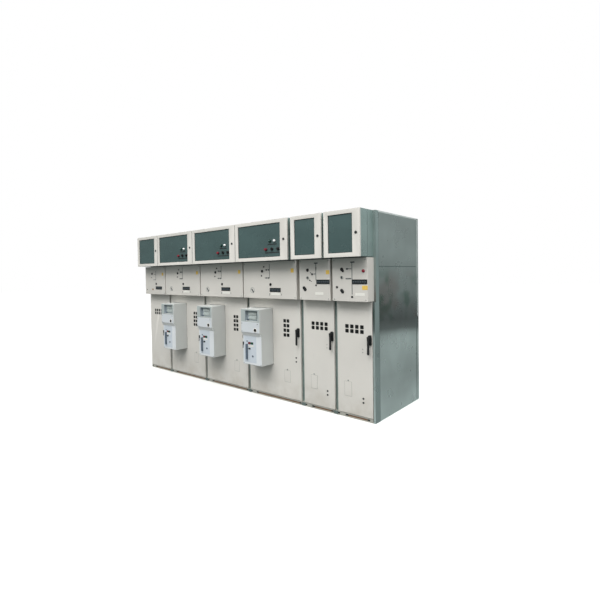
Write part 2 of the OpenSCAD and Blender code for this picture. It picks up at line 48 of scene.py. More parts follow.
ROOT = "cabinet"
BAYS = range(1, 7)
BREAKER_BAYS = (2, 3, 4)
OPENING_BAYS = (1, 5, 6)
BAY_EDGES = [edge * MM for edge in (-1750, -1250, -500, 250, 1000, 1375, 1750)]


def body_of_door(bay):
    """Body that carries the cable door of a bay."""
    return f"door_{bay}" if bay in OPENING_BAYS else ROOT


def metres(values):
    """Values given in millimetres, in metres."""
    return [value * MM for value in values]


def marked(marks, kind):
    """Places of one kind from a table in millimetres, in metres."""
    return [metres(place) for place in marks.get(kind, [])]


# Colours and procedural materials

def srgb(red, green, blue):
    """Linear colour of an sRGB triple from 0 to 255."""
    def linear(value):
        value /= 255
        return value / 12.92 if value <= 0.04045 else ((value + 0.055) / 1.055) ** 2.4
    return (linear(red), linear(green), linear(blue), 1.0)


def shaded(colour, factor):
    """The same colour, lighter or darker."""
    return tuple(min(1.0, channel * factor) for channel in colour[:3]) + (1.0,)


def set_stops(ramp_node, stops):
    """Fills a colour ramp from places and colours."""
    marks = ramp_node.color_ramp.elements
    while len(marks) < len(stops):
        marks.new(1.0)
    for mark, (position, colour) in zip(marks, stops):
        mark.position = position
        mark.color = colour


# Numbers of the colour sockets of a mix node
MIX_COLOURS, MIX_RESULT = (6, 7), 2


class Shader:
    """A principled material with short calls for its texture nodes."""

    def __init__(self, name, roughness=0.5, metallic=0.0, specular=0.5):
        self.material = bpy.data.materials.new(name)
        self.material.use_nodes = True
        self.tree = self.material.node_tree
        self.bsdf = self.tree.nodes["Principled BSDF"].inputs
        self.put(self.bsdf["Roughness"], roughness)
        self.put(self.bsdf["Metallic"], metallic)
        self.put(self.bsdf["Specular IOR Level"], specular)
        self.place = self.node("TexCoord").outputs["Object"]

    def put(self, socket, value):
        """Sets a socket to a value, or joins it to the output of a node."""
        if isinstance(value, bpy.types.NodeSocket):
            self.tree.links.new(value, socket)
        else:
            socket.default_value = value

    def node(self, kind, inputs=None):
        """New node with some of its inputs set."""
        made = self.tree.nodes.new("ShaderNode" + kind)
        for key, value in (inputs or {}).items():
            self.put(made.inputs[key], value)
        return made

    def stretched(self, scale):
        """Object coordinates scaled along each axis."""
        return self.node("Mapping", {"Vector": self.place, "Scale": scale}).outputs["Vector"]

    def noise(self, scale, detail=3.0, rough=0.5, vector=None):
        inputs = {"Vector": vector or self.place, "Scale": scale, "Detail": detail, "Roughness": rough}
        return self.node("TexNoise", inputs).outputs["Fac"]

    def along(self, axis):
        """Place along an axis, such as the height above the floor along Z."""
        return self.node("SeparateXYZ", {"Vector": self.place}).outputs[axis]

    def ranged(self, value, low, high, out_low, out_high):
        """Value moved from one range to another."""
        inputs = {"Value": value, "From Min": low, "From Max": high, "To Min": out_low, "To Max": out_high}
        return self.node("MapRange", inputs).outputs["Result"]

    def maths(self, operation, *values):
        """Result of a sum on numbers or outputs of nodes."""
        node = self.node("Math", dict(enumerate(values)))
        node.operation = operation
        return node.outputs["Value"]

    def mixed(self, factor, first, second, blend="MIX"):
        """Blend of two colours, each a colour or the output of a node."""
        node = self.node("Mix")
        node.data_type, node.blend_type = "RGBA", blend
        for key, value in zip(("Factor", *MIX_COLOURS), (factor, first, second)):
            self.put(node.inputs[key], value)
        return node.outputs[MIX_RESULT]

    def graded(self, value, stops):
        """Grey level that follows a list of places and levels."""
        node = self.node("ValToRGB", {"Fac": value})
        set_stops(node, [(position, (level, level, level, 1.0)) for position, level in stops])
        return node.outputs["Color"]

    def colour(self, output):
        self.put(self.bsdf["Base Color"], output)

    def rough(self, value, low, high):
        self.put(self.bsdf["Roughness"], self.ranged(value, 0.3, 0.7, low, high))

    def bump(self, value, strength, distance):
        node = self.node("Bump", {"Height": value, "Strength": strength, "Distance": distance})
        self.put(self.bsdf["Normal"], node.outputs["Normal"])


def painted_sheet(name, colour):
    """Powder-coated sheet: fine orange peel, faint clouding and some dust near the floor."""
    s = Shader(name, specular=0.4)
    clouds = s.ranged(s.noise(1.7), 0.3, 0.7, 0.0, 1.0)
    tone = s.mixed(clouds, shaded(colour, 0.95), shaded(colour, 1.04))
    specks = s.ranged(s.noise(42.0, 5.0, 0.65), 0.55, 0.8, 0.0, 0.22)
    tone = s.mixed(specks, tone, shaded(colour, 0.86))
    low = s.ranged(s.along("Z"), 0.0, 0.28, 0.5, 0.0)
    dust = s.maths("MULTIPLY", low, s.ranged(s.noise(9.0, 4.0), 0.35, 0.75, 0.0, 1.0))
    s.colour(s.mixed(dust, tone, srgb(160, 148, 128)))
    s.rough(s.noise(6.0, 4.0), 0.36, 0.52)
    s.bump(s.noise(620.0, 2.0), 0.08, 0.0006)
    return s.material


# Brightness of the end sheets by height, painted as reflection, a dark band at middle height between lighter
# parts: places are fractions of the band height
BAND_HEIGHT = 2.0
BAND_DIP = 0.06
END_REFLECTION_BANDS = [(0.0, 0.97), (0.06, 0.95), (0.12, 0.84), (0.187, 0.72), (0.25, 0.78), (0.31, 0.88),
             (0.35, 0.86), (0.375, 0.72), (0.405, 0.25), (0.45, 0.16), (0.50, 0.22), (0.57, 0.36),
             (0.66, 0.46), (0.734, 0.53), (0.80, 0.54), (0.89, 0.485), (0.95, 0.50)]
# Height window of the reddish and greenish patches, painted as reflection in the dark band
REFLECTION_TINT_BAND = [(0.42, 0.0), (0.46, 1.0), (0.62, 1.0), (0.70, 0.0)]


def galvanised(name, colour, reflection_bands=None, rough=(0.24, 0.36)):
    """Zinc-coated sheet: soft mottling and long level clouds; on the ends also bands and tints painted as
    reflection.
    """
    s = Shader(name, metallic=0.6)
    mottle = s.ranged(s.noise(8.0, 0.0, 0.45, s.stretched((1.0, 1.0, 0.6))), 0.3, 0.7, 0.0, 1.0)
    tone = s.mixed(mottle, shaded(colour, 0.955), shaded(colour, 1.045))
    spangle = s.ranged(s.noise(48.0, 1.0, 0.5), 0.3, 0.7, 0.0, 0.06)
    tone = s.mixed(spangle, tone, shaded(colour, 0.72))
    clouds = s.ranged(s.noise(1.1, 2.0, 0.5, s.stretched((1.0, 1.0, 2.6))), 0.35, 0.68, 0.0, 0.55)
    tone = s.mixed(clouds, tone, shaded(colour, 0.68))
    bloom = s.ranged(s.noise(3.4, 1.0, 0.45), 0.55, 0.8, 0.0, 0.35)
    tone = s.mixed(bloom, tone, shaded(colour, 1.15))
    if reflection_bands:
        # Painted reflection: level bands of brightness, and reddish and greenish patches, by height
        waver = s.ranged(s.noise(1.9, 3.0, 0.5, s.stretched((0.5, 0.5, 1.4))), 0.3, 0.7, -0.016, 0.016)
        dip = s.maths("MULTIPLY", s.along("Y"), BAND_DIP)
        level = s.maths("ADD", s.maths("ADD", s.along("Z"), dip), waver)
        level = s.maths("DIVIDE", level, BAND_HEIGHT)
        window = s.graded(level, REFLECTION_TINT_BAND)
        spots = s.stretched((1.0, 1.0, 1.5))
        red = s.maths("MULTIPLY", window, s.ranged(s.noise(3.1, 2.0, 0.4, spots), 0.52, 0.66, 0.0, 0.34))
        green = s.maths("MULTIPLY", window, s.ranged(s.noise(4.3, 2.0, 0.4, spots), 0.54, 0.68, 0.0, 0.6))
        tone = s.mixed(red, tone, srgb(186, 150, 140))
        tone = s.mixed(green, tone, srgb(104, 158, 134))
        tone = s.mixed(1.0, tone, s.graded(level, reflection_bands), "MULTIPLY")
    s.colour(tone)
    s.rough(s.noise(5.0, 2.0), *rough)
    s.bump(s.noise(2.6, 1.0), 0.12, 0.004)
    return s.material


def frame_steel(name, colour):
    """Dull zinc on the posts and small steel pieces."""
    s = Shader(name, metallic=0.35)
    grain = s.ranged(s.noise(24.0, 2.0, 0.45), 0.3, 0.7, 0.0, 1.0)
    tone = s.mixed(grain, shaded(colour, 0.92), shaded(colour, 1.08))
    s.colour(s.mixed(s.ranged(s.noise(5.0, 5.0), 0.5, 0.8, 0.0, 0.5), tone, shaded(colour, 0.6)))
    s.rough(s.noise(12.0, 4.0), 0.4, 0.6)
    return s.material


def dark_pane(name, colour):
    """Smooth tinted pane with a slight haze."""
    s = Shader(name)
    haze = s.ranged(s.noise(2.3, 4.0, 0.55, s.stretched((1.0, 1.0, 1.8))), 0.3, 0.7, 0.0, 1.0)
    s.colour(s.mixed(haze, shaded(colour, 0.9), shaded(colour, 1.12)))
    s.rough(s.noise(5.0, 3.0), 0.2, 0.32)
    return s.material


def moulded_plastic(name, colour, low=0.38, high=0.55):
    """Moulded plastic with a fine grain and slight handling marks."""
    s = Shader(name, specular=0.45)
    marks = s.ranged(s.noise(30.0, 5.0, 0.6), 0.45, 0.75, 0.0, 1.0)
    s.colour(s.mixed(marks, shaded(colour, 0.92), shaded(colour, 1.15)))
    s.rough(s.noise(45.0, 3.0), low, high)
    s.bump(s.noise(1500.0, 2.0), 0.06, 0.0004)
    return s.material


def gloss_lens(name, colour):
    """Glossy coloured lens or push-button cap."""
    s = Shader(name, specular=0.6)
    swirl = s.ranged(s.noise(60.0, 2.0), 0.3, 0.7, 0.0, 1.0)
    s.colour(s.mixed(swirl, shaded(colour, 0.88), shaded(colour, 1.1)))
    s.rough(s.noise(80.0, 2.0), 0.1, 0.2)
    return s.material


def printed_ink(name, colour):
    """Flat printed or stuck-on colour with a little wear."""
    s = Shader(name, specular=0.3)
    wear = s.ranged(s.noise(55.0, 5.0, 0.6), 0.5, 0.8, 0.0, 0.5)
    s.colour(s.mixed(wear, colour, shaded(colour, 1.2)))
    s.rough(s.noise(25.0, 3.0), 0.42, 0.6)
    return s.material


PAINT = painted_sheet("painted_sheet", srgb(214, 210, 203))
# Darker copy of the door paint for the covers, painted as the shade under the low-voltage boxes
SHADED_COVER_PAINT = painted_sheet("cover_paint_shaded", srgb(206, 202, 195))
# One housing paint in three tones, painted as light and shade: darker on the housing itself, as on its shaded
# sides, lighter on the upper plates and lightest on the lower front plates
BREAKER_PAINT = painted_sheet("breaker_paint", srgb(202, 204, 201))
BREAKER_PLATE = painted_sheet("breaker_plate", srgb(206, 210, 213))
# Near-white copy of the paint for the slope between the fronts, painted as light on that downward face
LIT_SLOPE_PAINT = painted_sheet("slope_painted_light", srgb(250, 250, 248))
RECESS_GREY = painted_sheet("recess_surround", srgb(170, 178, 176))
LIT_BREAKER_FRONT = painted_sheet("breaker_front", srgb(218, 221, 223))
PLATE_SHADE = painted_sheet("plate_shade", srgb(184, 183, 176))
BREAKER_LABEL = printed_ink("breaker_label", srgb(198, 205, 212))
ZINC = galvanised("galvanised_sheet", srgb(164, 185, 181))
# Light base tone that the painted reflection bands darken
ZINC_END = galvanised("galvanised_end", srgb(215, 232, 228), reflection_bands=END_REFLECTION_BANDS)
ZINC_STRIP = galvanised("galvanised_strip", srgb(161, 179, 176))
ZINC_DULL = galvanised("galvanised_dull", srgb(158, 174, 170), rough=(0.46, 0.6))
ZINC_PLAIN = galvanised("galvanised_inner", srgb(150, 160, 157))
POST = frame_steel("frame_steel", srgb(152, 169, 164))
RAIL = frame_steel("base_zinc", srgb(188, 186, 176))
FOOT = frame_steel("post_foot", srgb(118, 130, 126))
SCREW = frame_steel("screw_steel", srgb(150, 154, 150))
DARK_STEEL = frame_steel("dark_steel", srgb(54, 58, 58))
# Light strips painted as highlights along the top and the rear edges of the end sheets
EDGE_HIGHLIGHT = frame_steel("edge_highlight", srgb(206, 214, 211))
PANE = dark_pane("tinted_pane", srgb(66, 86, 85))
BLACK = moulded_plastic("black_plastic", srgb(26, 27, 28))
RUBBER = moulded_plastic("black_rubber", srgb(38, 42, 42), 0.6, 0.75)
SIGHT = moulded_plastic("sight_glass", srgb(10, 11, 11), 0.3, 0.4)
# Dark lines at the joints of the sheets, painted as the shadow of those joints
SEAM_SHADOW = printed_ink("sheet_seam", srgb(74, 88, 86))
LINER = moulded_plastic("recess_liner", srgb(160, 170, 176), 0.5, 0.65)
TERMINAL = moulded_plastic("terminal_plastic", srgb(184, 192, 189))
LEVER_GREY = moulded_plastic("lever_plastic", srgb(92, 104, 116))
WHITE_LENS = gloss_lens("white_lens", srgb(240, 242, 240))
GREEN_LENS = gloss_lens("green_lens", srgb(12, 62, 52))
RED_CAP = gloss_lens("red_plastic", srgb(132, 38, 52))
GREEN_FLAG = gloss_lens("green_flag", srgb(42, 80, 62))
RED_FLAG = gloss_lens("red_flag", srgb(122, 46, 52))
SEGMENT = gloss_lens("display_segment", srgb(72, 79, 83))
LCD = gloss_lens("display_glass", srgb(34, 40, 43))
INK = printed_ink("mimic_ink", srgb(84, 90, 90))
PALE_INK = printed_ink("pale_ink", srgb(150, 154, 151))
YELLOW = printed_ink("yellow_tag", srgb(222, 186, 92))
WHITE_TAG = printed_ink("white_plate", srgb(224, 222, 214))
PRIMER = printed_ink("base_primer", srgb(138, 110, 88))
BROWN_TAG = printed_ink("brown_plate", srgb(150, 128, 104))


def per_bay(name, bays=BAYS):
    """Names of the nodes that each of some bays has."""
    return [f"{name}_{bay}" for bay in bays]


MATERIAL_NODES = [
    (RAIL, ["base_rails"]),
    (POST, ["front_posts", "door_lintels", "hinge_pins"]),
    (ZINC, ["lv_boxes"]),
    (ZINC_END, ["left_end_panel", "right_end_panel"]),
    (ZINC_DULL, ["rear_panels", "roof_panels"]),
    (ZINC_PLAIN, ["base_cross_bars", "partition_walls", "floor_plates", "compartment_shelves",
                  "breaker_brackets"]),
    (PANE, ["lv_panes"]),
    (SIGHT, ["sight_panes"] + per_bay("sight_pane", OPENING_BAYS)),
    (BLACK, ["lever_sockets", "voltage_displays", "lv_locks", "black_buttons", "indicator_windows",
             "handle_plates", "handle_levers"]
     + per_bay("handle_plate", OPENING_BAYS) + per_bay("handle_lever", OPENING_BAYS)),
    (WHITE_LENS, ["white_lamps"]),
    (GREEN_LENS, ["green_lamps"]),
    (RED_CAP, ["red_buttons"]),
    (TERMINAL, ["breaker_terminals"]),
    (LEVER_GREY, ["charging_levers"]),
    (PAINT, per_bay("lv_door") + per_bay("cable_door")),
    # The covers take the darker copy of the paint, as painted shade
    (SHADED_COVER_PAINT, per_bay("mechanism_cover")),
    (BREAKER_PAINT, per_bay("breaker_housing", BREAKER_BAYS)),
]
NODE_MATERIALS = {node: material for material, nodes in MATERIAL_NODES for node in nodes}
for node_name, material in NODE_MATERIALS.items():
    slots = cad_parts[node_name].data.materials
    slots.clear()
    slots.append(material)


# Places to build on

class Face:
    """A flat place to build on, facing the front unless turned: points are across, up and outwards."""

    def __init__(self, origin, across=(1, 0, 0), up=(0, 0, 1)):
        self.origin = Vector(origin)
        self.across = Vector(across)
        self.up = Vector(up)
        self.out = self.across.cross(self.up)

    def point(self, u, v, w):
        return self.origin + self.across * u + self.up * v + self.out * w

    def moved(self, u, v, w=0.0):
        return Face(self.point(u, v, w), self.across, self.up)

    def turned(self, degrees):
        """The same place, turned about its own normal."""
        turn = Matrix.Rotation(math.radians(degrees), 3, self.out)
        return Face(self.origin, turn @ self.across, turn @ self.up)


def door_face(bay):
    """Front of a cable door, from the left side of its bay and the floor."""
    return Face((BAY_EDGES[bay - 1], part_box(f"cable_door_{bay}")[0].y, 0.0))


def joined_mesh(node):
    """Mesh of a CAD node with its doubled points joined."""
    bm = bmesh.new()
    bm.from_mesh(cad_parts[node].data)
    bmesh.ops.remove_doubles(bm, verts=bm.verts, dist=0.00001)
    return bm


def islands(node):
    """Boxes of the separate solids of a CAD node."""
    bm = joined_mesh(node)
    waiting = set(bm.verts)
    boxes = []
    while waiting:
        front = [waiting.pop()]
        found = []
        while front:
            vert = front.pop()
            found.append(vert.co.copy())
            for edge in vert.link_edges:
                other = edge.other_vert(vert)
                if other in waiting:
                    waiting.remove(other)
                    front.append(other)
        low = Vector([min(co[k] for co in found) for k in range(3)])
        high = Vector([max(co[k] for co in found) for k in range(3)])
        boxes.append((low, high))
    bm.free()
    return sorted(boxes, key=lambda box: (round(box[0].x, 4), round(box[0].z, 4)))


def island_faces(node):
    """Front of every solid of a CAD node, from its middle, with its width, height and depth."""
    found = []
    for low, high in islands(node):
        middle = Vector(((low.x + high.x) / 2, low.y, (low.z + high.z) / 2))
        found.append((Face(middle), high.x - low.x, high.z - low.z, high.y - low.y))
    return found


# Outlines and mesh shapes. Flat shapes are sunk a little into the surface that they sit on.

SUNK = 0.4 * MM
PRINT_THICK = 0.4 * MM


def rounded(width, height, radius, steps=5):
    """Outline of a rounded rectangle about the origin."""
    points = []
    corners = ((1, 1, 0), (-1, 1, 90), (-1, -1, 180), (1, -1, 270))
    for sign_u, sign_v, start_angle in corners:
        for step in range(steps + 1):
            angle = math.radians(start_angle + 90 * step / steps)
            u = sign_u * (width / 2 - radius) + radius * math.cos(angle)
            v = sign_v * (height / 2 - radius) + radius * math.sin(angle)
            points.append((u, v))
    return points


def circle(radius, sides=28):
    """Outline of a circle about the origin."""
    angles = [2 * math.pi * i / sides for i in range(sides)]
    return [(radius * math.cos(a), radius * math.sin(a)) for a in angles]


def shrunk(outline, inset):
    """Outline pulled in towards its middle by about the inset."""
    pulled = []
    for values in zip(*outline):
        middle = sum(values) / len(values)
        half = max(abs(value - middle) for value in values)
        scale = (half - inset) / half
        pulled.append([middle + (value - middle) * scale for value in values])
    return list(zip(*pulled))


def skin(bm, loops, hole=False):
    """Faces between loops of points. The ends are capped, or joined to each other round a hole."""
    following = loops[1:] + loops[:1] if hole else loops[1:]
    for first, second in zip(loops, following):
        for i in range(len(first)):
            j = (i + 1) % len(first)
            bm.faces.new((first[i], first[j], second[j], second[i]))
    if not hole:
        bm.faces.new(loops[-1])
        bm.faces.new(reversed(loops[0]))


def stack(bm, face, sections, hole=False):
    """Solid through outlines, each at its height over a face."""
    skin(bm, [[bm.verts.new(face.point(u, v, w)) for u, v in outline] for outline, w in sections], hole)


def prism(bm, face, outline, height, chamfer=0.0):
    """Solid over an outline on a face, with its top edge chamfered."""
    sections = [(outline, -SUNK), (outline, height - chamfer)]
    if chamfer:
        sections.append((shrunk(outline, chamfer), height))
    stack(bm, face, sections)


def tile(bm, face, u, v, width, height, thick, radius=None):
    """Rounded plate centred at u, v on a face."""
    radius = min(width, height) * 0.12 if radius is None else radius
    prism(bm, face.moved(u, v), rounded(width, height, radius), thick, thick * 0.3)


def disc(bm, face, u, v, diameter, thick):
    """Round plate centred at u, v on a face."""
    prism(bm, face.moved(u, v), circle(diameter / 2), thick, min(thick, diameter / 2) * 0.3)


def lathe(bm, face, u, v, profile, sides=32, hole=False):
    """Turned piece from radius and height pairs, outwards from the face or in a closed run round a hole."""
    stack(bm, face.moved(u, v), [(circle(radius, sides), w) for radius, w in profile], hole)


def stroke(bm, face, start_at, end_at, width):
    """Straight strip, as thin as print, between two points of a face."""
    along = Vector((end_at[0] - start_at[0], end_at[1] - start_at[1]))
    side = Vector((-along.y, along.x)).normalized() * width / 2
    ends = ((-1, start_at), (-1, end_at), (1, end_at), (1, start_at))
    prism(bm, face, [(u + sign * side.x, v + sign * side.y) for sign, (u, v) in ends], PRINT_THICK)


def hex_bolt(bm, face, u, v, across_flats):
    """Washer and hexagon head."""
    washer = across_flats * 0.15
    disc(bm, face, u, v, across_flats * 1.7, washer)
    head = circle(across_flats * 0.577, 6)
    prism(bm, face.moved(u, v, washer), head, across_flats * 0.55, across_flats * 0.08)


def screw(bm, face, u, v, diameter):
    """Pan-head screw with a recess in its head."""
    rim = diameter / 2
    profile = [(1.0, -0.1), (1.0, 0.25), (0.85, 0.55), (0.45, 0.72), (0.3, 0.3)]
    lathe(bm, face, u, v, [(rim * radius, rim * w) for radius, w in profile], 20)


def plate_with_hole(bm, face, low, high, centre, radius, thick):
    """Plate between two corners with a round hole through it."""
    corners = [(u, v) for u in (low[0], high[0]) for v in (low[1], high[1])]
    corner_angles = {math.atan2(v - centre[1], u - centre[0]) for u, v in corners}
    angles = sorted({math.radians(a) for a in range(-180, 180, 8)} | corner_angles)
    inner = [(centre[0] + radius * math.cos(a), centre[1] + radius * math.sin(a)) for a in angles]
    outer = []
    for angle in angles:
        along = math.cos(angle), math.sin(angle)
        reach = []
        for axis in (0, 1):
            if abs(along[axis]) > 1e-9:
                side = high[axis] if along[axis] > 0 else low[axis]
                reach.append((side - centre[axis]) / along[axis])
        outer.append((centre[0] + min(reach) * along[0], centre[1] + min(reach) * along[1]))
    stack(bm, face, [(inner, -SUNK), (inner, thick), (outer, thick), (outer, -SUNK)], hole=True)


def window_plate(bm, face, outer, inner, thick):
    """Plate with a window: each of the two rectangles is given by its low and high corner."""
    def corners(low, high):
        return [low, (high[0], low[1]), high, (low[0], high[1])]
    edge, window = corners(*outer), corners(*inner)
    stack(bm, face, [(edge, -SUNK), (edge, thick), (window, thick), (window, -SUNK)], hole=True)


# Pieces. A table gives the name, material and slot of each piece, and its mesh is filled under its key.

def add_object(name, data):
    """New object in the scene."""
    made = bpy.data.objects.new(name, data)
    bpy.context.scene.collection.objects.link(made)
    return made


def finish_piece(name, bm, material, body, crease=32):
    """Turns a mesh into a piece that rides on a body; edges sharper than the crease stay sharp."""
    bmesh.ops.recalc_face_normals(bm, faces=bm.faces)
    mesh = bpy.data.meshes.new(name)
    bm.to_mesh(mesh)
    bm.free()
    mesh.polygons.foreach_set("use_smooth", [True] * len(mesh.polygons))
    mesh.set_sharp_from_angle(angle=math.radians(crease))
    mesh.materials.append(material)
    piece = add_object(name, mesh)
    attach(piece, body)
    return piece


def new_meshes(table):
    """Empty meshes for the pieces of a table."""
    return {key: bmesh.new() for key in table}


def finish_pieces(meshes, table, body=ROOT):
    """Finishes the filled meshes of a table."""
    for key, (name, material, slot) in table.items():
        finish_piece(name, meshes[key], material, body)


def softened(node, width, body, front_only=False):
    """Copy of a CAD node with rounded edges, all or those at its front, which stands for the node."""
    bm = joined_mesh(node)
    bmesh.ops.dissolve_limit(bm, angle_limit=math.radians(1.0), verts=bm.verts, edges=bm.edges)
    corner = math.radians(40)
    sharp = [e for e in bm.edges if e.is_manifold and e.is_convex and e.calc_face_angle() > corner]
    if front_only:
        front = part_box(node)[0].y + 0.5 * MM
        sharp = [e for e in sharp if all(v.co.y < front for v in e.verts)]
    bmesh.ops.bevel(bm, geom=sharp, offset=width, segments=2, profile=0.5, affect="EDGES",
                    clamp_overlap=True)
    piece = finish_piece(node + "_soft", bm, NODE_MATERIALS[node], body, crease=20)
    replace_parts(piece, node)


# Mechanism covers: mimic lines, small devices, tags and screws.
# Places and sizes are in millimetres from the left and the bottom of the cover.

WIDE_COVER = {
    "lines": [(382, 212, 382, 366), (324, 303, 382, 303), (315, 217, 387, 217), (380, 30, 380, 55)],
    "boxes": [(341, 303, 17, 17), (372, 302, 14, 17), (335, 217, 15, 15), (367, 217, 16, 17),
              (541, 44, 5, 20)],
    "studs": [(304, 337, 18), (271, 241, 17)],
    "pointers": [(139, 79, 15, 52)],
    "rings": [(134, 84, 62)],
    "yellow": [(682, 290, 37, 42)],
    "white": [(462, 49, 124, 28)],
}
METERING_COVER = {
    "lines": [(262, 200, 262, 332), (205, 282, 262, 282), (200, 205, 266, 205)],
    "studs": [(162, 237, 12), (43, 66, 14)],
    "yellow": [(431, 282, 36, 40)],
    "brown": [(186, 68, 40, 22)],
}
FIRST_SWITCH_COVER = {
    "lines": [(195, 190, 195, 359), (129, 268, 152, 250), (152, 250, 190, 252), (122, 193, 146, 176)],
    "boxes": [(196, 355, 40, 11), (196, 306, 11, 24)],
    "studs": [(152, 250, 20), (124, 191, 12), (196, 143, 17)],
    "knobs": [(63, 108, 32, 52)],
    "yellow": [(325, 266, 38, 38)],
    "white": [(231, 64, 92, 25)],
}
LAST_SWITCH_COVER = {
    "lines": [(202, 62, 202, 356), (153, 293, 197, 293)],
    "boxes": [(207, 352, 42, 11), (153, 292, 22, 16), (166, 204, 56, 11)],
    "studs": [(49, 127, 22), (202, 41, 20)],
    "knobs": [(102, 91, 30, 45), (105, 282, 22, 42)],
    "yellow": [(325, 124, 52, 38)],
    "white": [(278, 64, 92, 25)],
    "red": [(312, 272, 30)],
}
COVERS = {1: METERING_COVER, 2: WIDE_COVER, 3: WIDE_COVER, 4: WIDE_COVER,
          5: FIRST_SWITCH_COVER, 6: LAST_SWITCH_COVER}
COVER_PIECES = {
    "ink": ("cover_mimic_lines", INK, "black_plastic"),
    "pale": ("cover_socket_rings", PALE_INK, "black_plastic"),
    "black": ("cover_studs", BLACK, "black_plastic"),
    "red": ("cover_red_caps", RED_CAP, "red_plastic"),
    "yellow": ("cover_yellow_tags", YELLOW, "indicator"),
    "white": ("cover_white_plates", WHITE_TAG, "terminal_plastic"),
    "brown": ("cover_brown_plates", BROWN_TAG, "indicator"),
    "steel": ("cover_screws", SCREW, "frame_steel"),
}
LINE_WIDTH = 6.5 * MM
RING_LINE = 5 * MM
KNOB_SLANT = 38
KNOB_THICK = 4 * MM
TAG_THICK = 1 * MM
TAG_RADII = {"yellow": 3 * MM, "white": 2 * MM, "brown": 2 * MM}
COVER_SCREW_IN = 20 * MM
COVER_SCREW_UP = 16 * MM


def dress_cover(meshes, face, marks):
    """Marks, knobs and tags of one cover."""
    for u, v, end_u, end_v in marked(marks, "lines"):
        stroke(meshes["ink"], face, (u, v), (end_u, end_v), LINE_WIDTH)
    for place in marked(marks, "boxes"):
        tile(meshes["ink"], face, *place, PRINT_THICK, 1 * MM)
    for u, v, diameter in marked(marks, "studs"):
        lathe(meshes["black"], face, u, v, [(diameter / 2, -SUNK), (diameter / 2, 3 * MM),
                                            (diameter / 3, 5 * MM), (diameter / 5, 5 * MM)])
    for kind, key in (("knobs", "black"), ("pointers", "ink")):
        for u, v, width, length in marked(marks, kind):
            slanted = face.moved(u, v).turned(KNOB_SLANT)
            tile(meshes[key], slanted, 0, 0, width, length, KNOB_THICK, width * 0.45)
    for u, v, diameter in marked(marks, "rings"):
        outer, inner = diameter / 2, diameter / 2 - RING_LINE
        profile = [(outer, -SUNK), (outer, PRINT_THICK), (inner, PRINT_THICK), (inner, -SUNK)]
        lathe(meshes["pale"], face, u, v, profile, hole=True)
    for kind, radius in TAG_RADII.items():
        for place in marked(marks, kind):
            tile(meshes[kind], face, *place, TAG_THICK, radius)
    for u, v, diameter in marked(marks, "red"):
        lathe(meshes["red"], face, u, v, [(diameter * 0.5, -SUNK), (diameter * 0.5, 3 * MM),
                                          (diameter * 0.4, 4 * MM), (diameter * 0.4, 9 * MM),
                                          (diameter * 0.32, 11 * MM)])


def dress_covers():
    meshes = new_meshes(COVER_PIECES)
    for bay, marks in COVERS.items():
        low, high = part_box(f"mechanism_cover_{bay}")
        face = Face(low)
        dress_cover(meshes, face, marks)
        for u in (COVER_SCREW_IN, high.x - low.x - COVER_SCREW_IN):
            for v in (COVER_SCREW_UP, high.z - low.z - COVER_SCREW_UP):
                screw(meshes["steel"], face, u, v, 9 * MM)
    finish_pieces(meshes, COVER_PIECES)


# Lever sockets and voltage displays on the covers

SOCKET_PIECES = {
    "bushes": ("socket_bushes", BLACK, "black_plastic"),
    "barrels": ("socket_key_barrels", SCREW, "frame_steel"),
    "glass": ("display_glass", LCD, "black_plastic"),
    "segments": ("display_segments", SEGMENT, "pane"),
}
KEY_SOCKET_UP = 216 * MM
BARREL_REACH = 2 * MM
GLASS_THICK = 0.8 * MM
SEGMENTS = 6


def dress_sockets_and_displays():
    meshes = new_meshes(SOCKET_PIECES)
    cover_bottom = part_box("mechanism_cover_6")[0].z
    for face, width, height, depth in island_faces("lever_sockets"):
        rim = width / 2
        if abs(face.origin.z - cover_bottom - KEY_SOCKET_UP) < 5 * MM:
            barrel = [(rim * 1.02, -depth), (rim * 1.02, 1 * MM), (rim * 0.94, BARREL_REACH)]
            lathe(meshes["barrels"], face, 0, 0, barrel)
            tile(meshes["bushes"], face.moved(0, 0, BARREL_REACH), 0, 0, rim * 0.8, rim * 1.5, 0.6 * MM)
            continue
        hexagon = [(rim * 0.62, -SUNK), (rim * 0.62, depth * 0.5),
                   (rim * 0.25, depth * 0.5), (rim * 0.22, depth * 0.2)]
        lathe(meshes["bushes"], face.moved(0, 0, -depth), 0, 0, hexagon, 6)
        collar = [(rim * 0.98, -depth), (rim * 1.12, -depth),
                  (rim * 1.12, -depth * 0.5), (rim * 0.98, -depth * 0.2)]
        lathe(meshes["bushes"], face, 0, 0, collar, hole=True)
    for face, width, height, depth in island_faces("voltage_displays"):
        tile(meshes["glass"], face, 0, 0, width * 0.94, height * 0.82, GLASS_THICK, 2 * MM)
        screen = face.moved(0, 0, GLASS_THICK)
        for k in range(SEGMENTS):
            u = width * (-0.38 + 0.152 * k)
            tile(meshes["segments"], screen, u, 0, width * 0.105, height * 0.3, 0.5 * MM, 1 * MM)
    finish_pieces(meshes, SOCKET_PIECES)


# Low-voltage doors: gaskets, black strips painted as shade in the gaps between doors, bezels, label strips and
# lock inserts

LV_PIECES = {
    "rubber": ("pane_gaskets_and_gap_shadows", RUBBER, "black_plastic"),
    "black": ("panel_bezels", BLACK, "black_plastic"),
    "steel": ("lock_inserts", DARK_STEEL, "frame_steel"),
}
GASKET_WIDTH = 5 * MM
GASKET_THICK = 1.8 * MM
GAP_SHADOW_WIDTH = 8 * MM
GAP_SHADOW_SETBACK = 1 * MM
PANEL_DEVICES = ("white_lamps", "green_lamps", "red_buttons", "black_buttons")
# Strips under the lamps and the buttons, in millimetres from the white lamp: across, up, length and height
LABEL_STRIPS = [(-31, -34, 118, 9), (-32, -118, 184, 9)]
LOCK_THICK = 1.2 * MM


